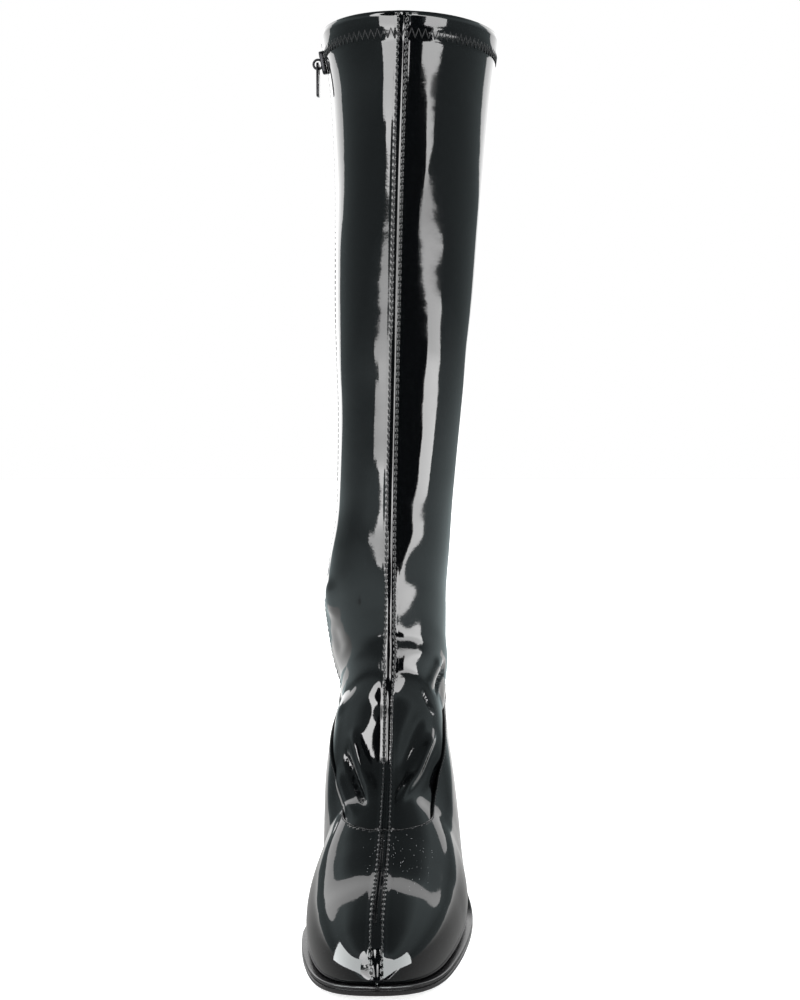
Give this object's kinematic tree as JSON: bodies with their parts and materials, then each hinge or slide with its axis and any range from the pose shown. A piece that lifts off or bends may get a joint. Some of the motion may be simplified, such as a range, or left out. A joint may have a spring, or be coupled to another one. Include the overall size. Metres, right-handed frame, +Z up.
{
  "type": "go go boot",
  "caption": "Left knee-high boot in black stretch patent with a front seam, inner side zip, rounded toe, thin sole and block heel.",
  "frame": {"origin": "on the floor, under the middle of the heel's top lift", "axes": "+Z up the leg, -Y towards the toe, +X towards the outer side of the left foot"},
  "size_m": [0.1016, 0.2427, 0.4597],
  "materials": {
    "black_patent": "high gloss stretch patent, soft creases",
    "black_sole": "smooth matt edge, black-brown",
    "grey_lining": "plain woven lining board cover",
    "black_zip_tape": "woven tape",
    "black_zip_coil": "nylon coil",
    "black_metal": "black enamel"
  },
  "bodies": {
    "boot": {"outsole": "black_sole", "insole": "grey_lining", "heel": "black_patent", "top_lift": "black_sole", "upper": "black_patent", "shaft": "black_patent", "zip_tape": "black_zip_tape", "zip_coil": "black_zip_coil", "zip_slider": "black_metal"},
    "pull": {"zip_pull": "black_metal"}
  },
  "joints": [
    {"name": "zip_pull_swing", "type": "hinge", "parent": "boot", "child": "pull", "pos_m": [-0.04442, -0.01715, 0.44698], "axis": [0.0759, 0.9971, 0], "range_deg": [0, 165]}
  ]
}
